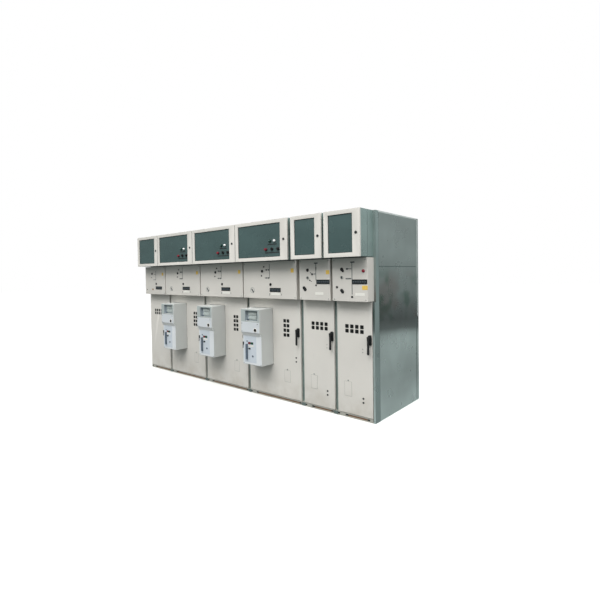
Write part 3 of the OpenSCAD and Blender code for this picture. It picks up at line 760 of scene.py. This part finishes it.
def dress_lv_doors():
    meshes = new_meshes(LV_PIECES)
    for face, width, height, depth in island_faces("lv_panes"):
        half_u, half_v = width / 2, height / 2
        inner_u, inner_v = half_u - GASKET_WIDTH, half_v - GASKET_WIDTH
        outer = (-half_u, -half_v), (half_u, half_v)
        inner = (-inner_u, -inner_v), (inner_u, inner_v)
        window_plate(meshes["rubber"], face, outer, inner, GASKET_THICK)
    low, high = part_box("lv_door_1")
    gap_shadow_height, gap_shadow_reach = high.z - low.z - GAP_SHADOW_WIDTH, high.y - low.y - GAP_SHADOW_SETBACK
    # Black strips in the gaps between the first four doors, painted as the shade in those gaps
    for edge in BAY_EDGES[1:4]:
        gap = Face((edge, high.y, (low.z + high.z) / 2))
        tile(meshes["rubber"], gap, 0, 0, GAP_SHADOW_WIDTH, gap_shadow_height, gap_shadow_reach, 1 * MM)
    for node in PANEL_DEVICES:
        for face, width, height, depth in island_faces(node):
            rim = width / 2
            bezel = [(rim * 1.3, -SUNK), (rim * 1.3, 1.5 * MM), (rim * 1.1, 3 * MM)]
            lathe(meshes["black"], face.moved(0, 0, -depth), 0, 0, bezel)
    for face, width, height, depth in island_faces("white_lamps"):
        for strip in LABEL_STRIPS:
            tile(meshes["black"], face.moved(0, 0, -depth), *metres(strip), 0.8 * MM, 1 * MM)
    for face, width, height, depth in island_faces("lv_locks"):
        disc(meshes["steel"], face, 0, 0, width * 0.6, LOCK_THICK)
        tile(meshes["black"], face.moved(0, 0, LOCK_THICK), 0, 0, 2.5 * MM, width * 0.4, 0.5 * MM)
    finish_pieces(meshes, LV_PIECES)


# Cable doors: bare plates with a darker rim painted as their shadow, screws and plugs.
# Places and sizes are in millimetres from the left of the bay and the floor.

WIDE_DOOR = {"plate": [(547, 270, 72, 118)], "plugs": [(664, 479), (664, 437)]}
NARROW_DOOR = {"plate": [(132, 270, 69, 131)], "plugs": [(284, 205), (284, 167)],
               "pins": [(283, 655), (283, 625)]}
PLATE_SHADOW_RIM = 8 * MM
PLATE_SCREW_UP = 12 * MM


def dress_doors():
    for bay in BAYS[1:]:
        pieces = {
            "plate": (f"door_{bay}_plate", PAINT, "painted_sheet"),
            "rim": (f"door_{bay}_plate_shadow_rim", PLATE_SHADE, "painted_sheet"),
            "steel": (f"door_{bay}_screws", SCREW, "frame_steel"),
            "plugs": (f"door_{bay}_plugs", RUBBER, "black_plastic"),
        }
        marks = WIDE_DOOR if bay in BREAKER_BAYS else NARROW_DOOR
        meshes = new_meshes(pieces)
        face = door_face(bay)
        for u, v, width, height in marked(marks, "plate"):
            tile(meshes["plate"], face, u, v, width, height, 2 * MM, 4 * MM)
            # Darker rim round the plate, painted as its shadow
            tile(meshes["rim"], face, u, v, width + PLATE_SHADOW_RIM, height + PLATE_SHADOW_RIM, 0.8 * MM, 5 * MM)
            screw(meshes["steel"], face, u, v + height / 2 + PLATE_SCREW_UP, 14 * MM)
        for u, v in marked(marks, "plugs"):
            lathe(meshes["plugs"], face, u, v, [(9 * MM, -SUNK), (9 * MM, 1.5 * MM), (5 * MM, 3 * MM)])
        for u, v in marked(marks, "pins"):
            screw(meshes["steel"], face, u, v, 8 * MM)
        finish_pieces(meshes, pieces, body_of_door(bay))


# Breaker housings: front plates, bore, recess and small parts.
# Tables are in millimetres from the left and the bottom of the housing.

BREAKER_PIECES = {
    "panels": ("breaker_panels", BREAKER_PLATE, "breaker_paint"),
    "fronts": ("breaker_front_plates", LIT_BREAKER_FRONT, "breaker_paint"),
    "slopes": ("breaker_slopes", LIT_SLOPE_PAINT, "breaker_paint"),
    "surrounds": ("breaker_recess_surrounds", RECESS_GREY, "breaker_paint"),
    "collars": ("breaker_bore_collars", WHITE_TAG, "terminal_plastic"),
    "labels": ("breaker_labels", BREAKER_LABEL, "breaker_paint"),
    "steel": ("breaker_screws", SCREW, "frame_steel"),
    "black": ("breaker_black_details", BLACK, "black_plastic"),
    "liners": ("breaker_recess_liners", LINER, "terminal_plastic"),
    "blocks": ("breaker_recess_blocks", LEVER_GREY, "lever_plastic"),
    "plates": ("breaker_label_plates", WHITE_TAG, "terminal_plastic"),
    "red": ("indicator_red_flags", RED_FLAG, "indicator"),
    "green": ("indicator_green_flags", GREEN_FLAG, "green_lens"),
}
LOWER_SETBACK = 28 * MM
LOWER_TOP = 334 * MM
FRONT_MARGIN = 4 * MM
FRONT_THICK = 1.2 * MM
LABEL = (108, 172, 176, 296)
LABEL_THICK = 0.4 * MM
# Small parts on the lower front: mesh, place, width, height, thickness and corner radius
LOWER_PARTS = [
    ("plates", 117, 205, 80, 18, 0.8, 2.16),
    ("black", 99, 174, 30, 17, 5, 6),
    ("blocks", 63, 252, 15, 16, 2, 3),
    ("black", 8, 226, 14, 34, 9, 5),
    ("black", 3, 196, 6, 50, 6, 2),
]
LOWER_STUD = (144, 96)
LOWER_SCREW_IN = 14 * MM
SLOPE = (353, 310)
PANEL = (355, 466)
PANEL_MARGIN = 7 * MM
PANEL_THICK = 1.5 * MM
SCREW_LEFT, SCREW_RIGHT = 16 * MM, 32 * MM
HIGH_SCREWS_UP, LOW_SCREW_UP = 448 * MM, 366 * MM
BORE = (208, 383)
BORE_RADIUS = 21 * MM
BORE_DEPTH = 36 * MM
COLLAR_RADIUS = 24 * MM
LINER_RADIUS = 18 * MM
LINER_WALL = 1.5 * MM
RECESS = (62, 476, 180, 113)
RECESS_DEPTH = 36 * MM
# Blocks at the back of the recess, from its middle
RECESS_BLOCKS = [(74, 14, 26, 54, 18, 3), (-72, -44, 22, 16, 12, 3)]
SURROUND_FOOT = 468 * MM
SURROUND_MARGIN = 5 * MM


def dress_lower_front(meshes, upper, width):
    """Front plate in a lighter tone, painted as light, with its label and small parts, and a near-white plate
    over the slope, painted as light on that downward face.
    """
    sheet = upper.moved(0, 0, -LOWER_SETBACK)
    plate_width, plate_height = width - 2 * FRONT_MARGIN, LOWER_TOP - 10 * MM
    # The lower front plate takes the lightest tone, as painted light
    tile(meshes["fronts"], sheet, width / 2, LOWER_TOP / 2, plate_width, plate_height, FRONT_THICK, 5 * MM)
    tile(meshes["labels"], sheet.moved(0, 0, FRONT_THICK), *metres(LABEL), LABEL_THICK, 6 * MM)
    lower = sheet.moved(0, 0, FRONT_THICK + LABEL_THICK)
    for key, *sizes in LOWER_PARTS:
        tile(meshes[key], lower, *metres(sizes))
    stud = [(11 * MM, -SUNK), (11 * MM, 3 * MM), (7 * MM, 5 * MM)]
    lathe(meshes["blocks"], lower, *metres(LOWER_STUD), stud)
    for u in (LOWER_SCREW_IN, width - LOWER_SCREW_IN):
        screw(meshes["steel"], lower, u, LOWER_SCREW_IN, 9 * MM)
    top, foot = metres(SLOPE)
    left_end = Face(upper.point(FRONT_MARGIN, 0, 0), (0, 1, 0))
    # Near-white plate over the slope, painted as light
    prism(meshes["slopes"], left_end, [(0.0, top), (LOWER_SETBACK, top), (LOWER_SETBACK, foot)], plate_width)


def dress_bore(meshes, upper, width):
    """Plate on the upper front with its screws, and the collar and liner of the bore."""
    centre = metres(BORE)
    foot, top = metres(PANEL)
    plate_with_hole(meshes["panels"], upper, (PANEL_MARGIN, foot), (width - PANEL_MARGIN, top), centre,
                    BORE_RADIUS, PANEL_THICK)
    plate = upper.moved(0, 0, PANEL_THICK)
    for u in (SCREW_LEFT, width - SCREW_RIGHT):
        screw(meshes["steel"], plate, u, HIGH_SCREWS_UP, 11 * MM)
    screw(meshes["steel"], plate, SCREW_LEFT, LOW_SCREW_UP, 9 * MM)
    collar = [(COLLAR_RADIUS, -SUNK), (COLLAR_RADIUS, 2.2 * MM),
              (LINER_RADIUS, 2.6 * MM), (LINER_RADIUS, -SUNK)]
    lathe(meshes["collars"], upper, *centre, collar, hole=True)
    inside = LINER_RADIUS - LINER_WALL
    liner = [(LINER_RADIUS, 2 * MM), (inside, 2 * MM), (inside, -BORE_DEPTH), (LINER_RADIUS, -BORE_DEPTH)]
    lathe(meshes["black"], upper, *centre, liner, hole=True)
    disc(meshes["black"], upper.moved(0, 0, -BORE_DEPTH), *centre, 2 * LINER_RADIUS, 1 * MM)


def dress_recess(meshes, upper, width, height):
    """Grey surround of the recess, with linings and blocks inside it."""
    left, bottom, across, tall = metres(RECESS)
    back = upper.moved(left + across / 2, bottom + tall / 2, -RECESS_DEPTH)
    tile(meshes["liners"], back, 0, 0, across - 2 * MM, tall - 2 * MM, 1 * MM, 2 * MM)
    wall = Face(upper.point(left, bottom + tall / 2, 0), (0, 1, 0))
    tile(meshes["liners"], wall, RECESS_DEPTH / 2, 0, RECESS_DEPTH - 2 * MM, tall - 2 * MM, 1 * MM, 2 * MM)
    for sizes in RECESS_BLOCKS:
        tile(meshes["blocks"], back, *metres(sizes))
    outer = (SURROUND_MARGIN, SURROUND_FOOT), (width - SURROUND_MARGIN, height - SURROUND_MARGIN)
    inner = (left, bottom), (left + across, bottom + tall)
    window_plate(meshes["surrounds"], upper, outer, inner, 1 * MM)


def dress_breakers():
    meshes = new_meshes(BREAKER_PIECES)
    for bay in BREAKER_BAYS:
        low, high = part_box(f"breaker_housing_{bay}")
        upper, width = Face(low), high.x - low.x
        dress_lower_front(meshes, upper, width)
        dress_bore(meshes, upper, width)
        dress_recess(meshes, upper, width, high.z - low.z)
    for index, (face, width, height, depth) in enumerate(island_faces("indicator_windows")):
        flag = meshes["red" if index % 2 == 0 else "green"]
        tile(flag, face, 0, 0, width * 0.9, height * 0.84, 1.2 * MM, 2 * MM)
    finish_pieces(meshes, BREAKER_PIECES)


# Base: feet of the posts, linings in the slots of the rail, and dark tiles painted as shade at the ends of the
# slots

BASE_PIECES = {
    "feet": ("base_post_feet", FOOT, "frame_steel"),
    "lining": ("base_slot_linings", PRIMER, "frame_steel"),
    "shadow": ("base_slot_end_shadows", RUBBER, "black_plastic"),
}
SLOT_BACK = 10 * MM
SLOT_LEFT = 97 * MM
SLOT_RIGHT = 30 * MM
SLOT_UP = 18 * MM
SLOT_HEIGHT = 18 * MM
LINING_THICK = 2 * MM
SHORT_SLOT_AT, SHORT_SLOT = 25 * MM, 30 * MM
SLOT_END = 28 * MM
FOOT_AT, FOOT_WIDTH = -2 * MM, 46 * MM


def dress_base():
    meshes = new_meshes(BASE_PIECES)
    low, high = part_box("base_rails")
    for left, right in zip(BAY_EDGES, BAY_EDGES[1:]):
        face = Face((left, low.y + SLOT_BACK, 0.0))
        length = right - left - SLOT_LEFT - SLOT_RIGHT
        middle = SLOT_LEFT + length / 2
        tile(meshes["lining"], face, middle, SLOT_UP, length, SLOT_HEIGHT, LINING_THICK, 1 * MM)
        # Dark tiles near the post and at both ends of the lining, painted as shade in the slot
        tile(meshes["shadow"], face, SHORT_SLOT_AT, SLOT_UP, SHORT_SLOT, SLOT_HEIGHT, LINING_THICK, 1 * MM)
        lining = face.moved(0, 0, LINING_THICK)
        for u in (SLOT_LEFT + SLOT_END / 2, SLOT_LEFT + length - SLOT_END / 2):
            tile(meshes["shadow"], lining, u, SLOT_UP, SLOT_END, SLOT_HEIGHT - 1 * MM, 1 * MM, 1 * MM)
    for edge in BAY_EDGES[1:-1]:
        post = Face((edge, low.y, 0.0))
        tile(meshes["feet"], post, FOOT_AT, high.z / 2, FOOT_WIDTH, high.z - 2 * MM, 1.5 * MM, 2 * MM)
    finish_pieces(meshes, BASE_PIECES)


# End panels: seams with dark lines painted as their shadow, light strips painted as edge highlights, and front
# strips

END_PIECES = {
    "seams": ("sheet_seams", SEAM_SHADOW, "galvanised_sheet"),
    "edge_highlights": ("sheet_edge_highlights", EDGE_HIGHLIGHT, "galvanised_sheet"),
    "strips": ("sheet_front_strips", ZINC_STRIP, "galvanised_sheet"),
}
SEAM_WIDTH = 7 * MM
THIN_SEAM = 0.6 * SEAM_WIDTH
WIDE_SEAM = 2 * SEAM_WIDTH
HIGHLIGHT_WIDTH = 14 * MM
UPPER_SEAM = 1.400
FRONT_SEAM = 60 * MM
REAR_SEAM = 60 * MM
REAR_EDGE = 30 * MM
EDGE_BREAK = 0.88
END_CLEAR = 2 * MM


def dress_end(meshes, face, front_at, rear_at, top):
    """One end panel, with the places of its front and rear edge across the face."""
    inwards = 1 if front_at < rear_at else -1
    front = front_at + inwards * FRONT_SEAM
    rear = rear_at - inwards * REAR_SEAM
    edge = rear_at - inwards * REAR_EDGE
    beside = (front_at + front) / 2
    highlight_up = top - HIGHLIGHT_WIDTH / 2
    lines = [
        ("strips", (beside, END_CLEAR), (beside, top - END_CLEAR), FRONT_SEAM),
        # Dark lines at the joints, painted as their shadow
        ("seams", (front, UPPER_SEAM), (rear, UPPER_SEAM), SEAM_WIDTH),
        ("seams", (front, 10 * MM), (front, top - HIGHLIGHT_WIDTH), THIN_SEAM),
        ("seams", (rear, 10 * MM), (rear, EDGE_BREAK), WIDE_SEAM),
        # Light strips along the upper rear edge and the top, painted as edge highlights
        ("edge_highlights", (edge, EDGE_BREAK), (edge, top - END_CLEAR), HIGHLIGHT_WIDTH),
        ("edge_highlights", (front, highlight_up), (edge, highlight_up), HIGHLIGHT_WIDTH),
    ]
    for key, start_at, end_at, width in lines:
        stroke(meshes[key], face, start_at, end_at, width)


def dress_ends():
    meshes = new_meshes(END_PIECES)
    right_low, right_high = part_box("right_end_panel")
    left_low, left_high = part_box("left_end_panel")
    depth, top = left_high.y - left_low.y, left_high.z
    right = Face((right_high.x, left_low.y, 0.0), (0, 1, 0))
    left = Face((left_low.x, left_high.y, 0.0), (0, -1, 0))
    dress_end(meshes, right, 0.0, depth, top)
    dress_end(meshes, left, depth, 0.0, top)
    lip = left_low.y - right_low.y
    lip_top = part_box("cable_door_6")[1].z
    stroke(meshes["strips"], right, (-lip / 2, END_CLEAR), (-lip / 2, lip_top - END_CLEAR), lip)
    boxes_low, boxes_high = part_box("lv_boxes")
    side = Face((boxes_high.x, boxes_low.y, boxes_low.z), (0, 1, 0))
    middle = (boxes_high.y - boxes_low.y) * 0.55
    box_height = boxes_high.z - boxes_low.z
    # Dark line at the joint on the box side, painted as its shadow
    stroke(meshes["seams"], side, (middle, 4 * MM), (middle, box_height - 4 * MM), THIN_SEAM)
    finish_pieces(meshes, END_PIECES)


# Rear and roof sheets: bolts along their long edges

BOLT_IN = 22 * MM
BOLT_END = 40 * MM
BOLT_SIZE = 8 * MM
REAR_BOLTS = 6
ROOF_BOLTS = 4


def bolt_rows(bm, face, width, length, count):
    """A row of bolts along both long edges of a sheet."""
    for u in (BOLT_IN, width - BOLT_IN):
        for k in range(count):
            hex_bolt(bm, face, u, BOLT_END + k * (length - 2 * BOLT_END) / (count - 1), BOLT_SIZE)


def dress_sheets():
    bolts = bmesh.new()
    for low, high in islands("rear_panels"):
        face = Face((high.x, high.y, low.z), (-1, 0, 0))
        bolt_rows(bolts, face, high.x - low.x, high.z - low.z, REAR_BOLTS)
    for low, high in islands("roof_panels"):
        face = Face((low.x, low.y, high.z), up=(0, 1, 0))
        bolt_rows(bolts, face, high.x - low.x, high.y - low.y, ROOF_BOLTS)
    finish_piece("sheet_bolts", bolts, SCREW, ROOT)


# Handles: moulded plates and levers that stand for the plain ones

# Sections of the lever's arm from top to tip, as shares of the lever: place, half width, back and front
LEVER_SECTIONS = [(0.55, 1.0, 0.42, 0.94), (0.2, 1.0, 0.4, 1.0), (0.0, 0.98, 0.4, 1.0),
                  (-0.2, 0.86, 0.42, 0.92), (-0.45, 0.8, 0.46, 0.9), (-0.75, 0.86, 0.5, 0.97),
                  (-0.92, 0.92, 0.52, 1.0), (-1.0, 0.7, 0.58, 0.94)]
# Outline of the handle plate, as shares of its half width and half height
PLATE_OUTLINE = [(0.95, 0.8), (0.8, 0.97), (0.6, 1.0), (-0.05, 1.0), (-0.3, 0.96), (-0.9, 0.62),
                 (-1.0, 0.45), (-1.0, -0.85), (-0.85, -1.0), (0.8, -1.0), (1.0, -0.85), (1.0, 0.6)]


def lever_mesh(bm, low, high):
    """Hanging lever: a round hub and an arm that narrows and swells out towards its tip."""
    half = (high.x - low.x) / 2
    depth = high.y - low.y
    length = high.z - low.z - half
    pivot = Face(((low.x + high.x) / 2, high.y, high.z - half))
    lathe(bm, pivot, 0, 0, [(half * 0.96, 0.0), (half * 0.96, depth * 0.5), (half * 0.9, depth * 0.55)])
    loops = []
    for drop, wide, back, front in LEVER_SECTIONS:
        v = drop * length if drop < 0 else drop * half * 1.8
        half_width, thick, middle = half * wide, depth * (front - back), depth * (front + back) / 2
        section = rounded(2 * half_width, thick, min(half_width, thick / 2) * 0.62, 3)
        loops.append([bm.verts.new(pivot.point(u, v, middle + w)) for u, w in section])
    skin(bm, loops)


def plate_mesh(bm, low, high):
    """Handle plate with a slanted upper left corner and small radii elsewhere."""
    half_u, half_v = (high.x - low.x) / 2, (high.z - low.z) / 2
    face = Face(((low.x + high.x) / 2, high.y, (low.z + high.z) / 2))
    prism(bm, face, [(u * half_u, v * half_v) for u, v in PLATE_OUTLINE], high.y - low.y, 2.5 * MM)


def moulded(node, shape, body):
    """Piece that stands for a handle node, with a shape in the box of each of its solids."""
    bm = bmesh.new()
    for low, high in islands(node):
        shape(bm, low, high)
    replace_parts(finish_piece(node + "_moulded", bm, BLACK, body), node)


def dress_handles():
    moulded("handle_levers", lever_mesh, ROOT)
    moulded("handle_plates", plate_mesh, ROOT)
    for bay in OPENING_BAYS:
        moulded(f"handle_lever_{bay}", lever_mesh, f"handle_{bay}")
        moulded(f"handle_plate_{bay}", plate_mesh, f"door_{bay}")


def soften_edges():
    for bay in BREAKER_BAYS:
        softened(f"breaker_housing_{bay}", 2 * MM, ROOT)
    softened("charging_levers", 4 * MM, ROOT)
    for bay in BAYS:
        softened(f"lv_door_{bay}", 3 * MM, ROOT, front_only=True)
        softened(f"mechanism_cover_{bay}", 2 * MM, ROOT, front_only=True)
        softened(f"cable_door_{bay}", 2 * MM, body_of_door(bay), front_only=True)


# Camera: the photograph's point of view, in an image of 600 by 600 pixels

IMAGE_SIZE = 600
FOCAL_PIXELS = 406.8
AXIS_PIXEL = (240.0, 283.1)
CAMERA_AT = (3.438, -3.7725, 1.349)
CAMERA_YAW = 0.7761
CAMERA_PITCH = -0.02107
CAMERA_ROLL = -0.01779
SENSOR = 36.0


def make_camera():
    data = bpy.data.cameras.new("photo_camera")
    camera = add_object("photo_camera", data)
    bpy.context.scene.camera = camera
    data.sensor_width = SENSOR
    data.lens = SENSOR * FOCAL_PIXELS / IMAGE_SIZE
    data.shift_x = (IMAGE_SIZE / 2 - AXIS_PIXEL[0]) / IMAGE_SIZE
    data.shift_y = (AXIS_PIXEL[1] - IMAGE_SIZE / 2) / IMAGE_SIZE
    level = math.cos(CAMERA_PITCH)
    forward = Vector((-math.sin(CAMERA_YAW) * level, math.cos(CAMERA_YAW) * level, math.sin(CAMERA_PITCH)))
    right = Vector((math.cos(CAMERA_YAW), math.sin(CAMERA_YAW), 0.0))
    up = right.cross(forward)
    turn = math.cos(CAMERA_ROLL), math.sin(CAMERA_ROLL)
    tilted_right = right * turn[0] + up * turn[1]
    tilted_up = up * turn[0] - right * turn[1]
    pose = Matrix((tilted_right, tilted_up, -forward)).transposed().to_4x4()
    pose.translation = Vector(CAMERA_AT)
    camera.matrix_world = pose


# Studio: pale floor, soft sky and large area lights

WHITE = (1.0, 1.0, 1.0, 1.0)
NO_LIGHT = (0.0, 0.0, 0.0, 1.0)
FLOOR_HALF = 40.0
FADE_START, FADE_END = 2.6, 6.5
SKY_STRENGTH = 2.0
SKY = [(0.0, (0.11, 0.12, 0.12)), (0.3, (0.31, 0.33, 0.33)),
       (0.65, (0.81, 0.82, 0.82)), (1.0, (1.0, 1.0, 0.99))]
# Name, place, point aimed at, size and power in watts
LIGHTS = [
    ("front_softbox", (1.3, -4.85, 6.6), (0.6, -0.4, 0.9), (6.0, 3.0), 345.0),
    ("right_softbox", (6.5, -1.0, 4.5), (1.5, -0.1, 1.0), (4.0, 3.0), 80.0),
    ("rear_softbox", (-4.0, 5.0, 5.0), (-0.8, 0.3, 1.0), (4.0, 3.0), 150.0),
]


def make_floor():
    """Pale floor that fades to plain white away from the row, and throws no light back up at it."""
    bm = bmesh.new()
    bmesh.ops.create_grid(bm, x_segments=8, y_segments=8, size=FLOOR_HALF)
    mesh = bpy.data.meshes.new("studio_floor")
    bm.to_mesh(mesh)
    bm.free()
    floor = add_object("studio_floor", mesh)
    floor.visible_diffuse = False
    floor.visible_glossy = False
    s = Shader("studio_floor", roughness=0.8, specular=0.1)
    length = s.node("VectorMath", {0: s.place})
    length.operation = "LENGTH"
    far = s.ranged(length.outputs["Value"], FADE_START, FADE_END, 0.0, 1.0)
    near_tone = s.mixed(s.noise(0.4), srgb(236, 236, 234), srgb(242, 242, 240))
    s.colour(s.mixed(far, near_tone, NO_LIGHT))
    s.put(s.bsdf["Emission Color"], WHITE)
    s.put(s.bsdf["Emission Strength"], far)
    mesh.materials.append(s.material)


def make_sky():
    """Soft overhead sky for light and reflections, and a plain white backdrop for the eye."""
    world = bpy.data.worlds.new("studio_sky")
    bpy.context.scene.world = world
    world.use_nodes = True
    nodes, links = world.node_tree.nodes, world.node_tree.links
    light = nodes["Background"]
    light.inputs["Strength"].default_value = SKY_STRENGTH
    backdrop = nodes.new("ShaderNodeBackground")
    backdrop.inputs["Color"].default_value = WHITE
    place = nodes.new("ShaderNodeTexCoord")
    split = nodes.new("ShaderNodeSeparateXYZ")
    links.new(place.outputs["Generated"], split.inputs["Vector"])
    ramp = nodes.new("ShaderNodeValToRGB")
    set_stops(ramp, [(position, colour + (1.0,)) for position, colour in SKY])
    links.new(split.outputs["Z"], ramp.inputs["Fac"])
    links.new(ramp.outputs["Color"], light.inputs["Color"])
    path = nodes.new("ShaderNodeLightPath")
    mix = nodes.new("ShaderNodeMixShader")
    links.new(path.outputs["Is Camera Ray"], mix.inputs["Fac"])
    links.new(light.outputs["Background"], mix.inputs[1])
    links.new(backdrop.outputs["Background"], mix.inputs[2])
    links.new(mix.outputs["Shader"], nodes["World Output"].inputs["Surface"])


def make_light(name, place, target, size, power):
    data = bpy.data.lights.new(name, "AREA")
    data.shape = "RECTANGLE"
    data.size, data.size_y = size
    data.energy = power
    lamp = add_object(name, data)
    lamp.location = place
    lamp.rotation_euler = (Vector(target) - Vector(place)).to_track_quat("-Z", "Y").to_euler()


dress_covers()
dress_sockets_and_displays()
dress_lv_doors()
dress_doors()
dress_breakers()
dress_base()
dress_ends()
dress_sheets()
dress_handles()
soften_edges()

make_camera()
make_floor()
make_sky()
for light in LIGHTS:
    make_light(*light)

bpy.context.scene.view_settings.view_transform = "Standard"
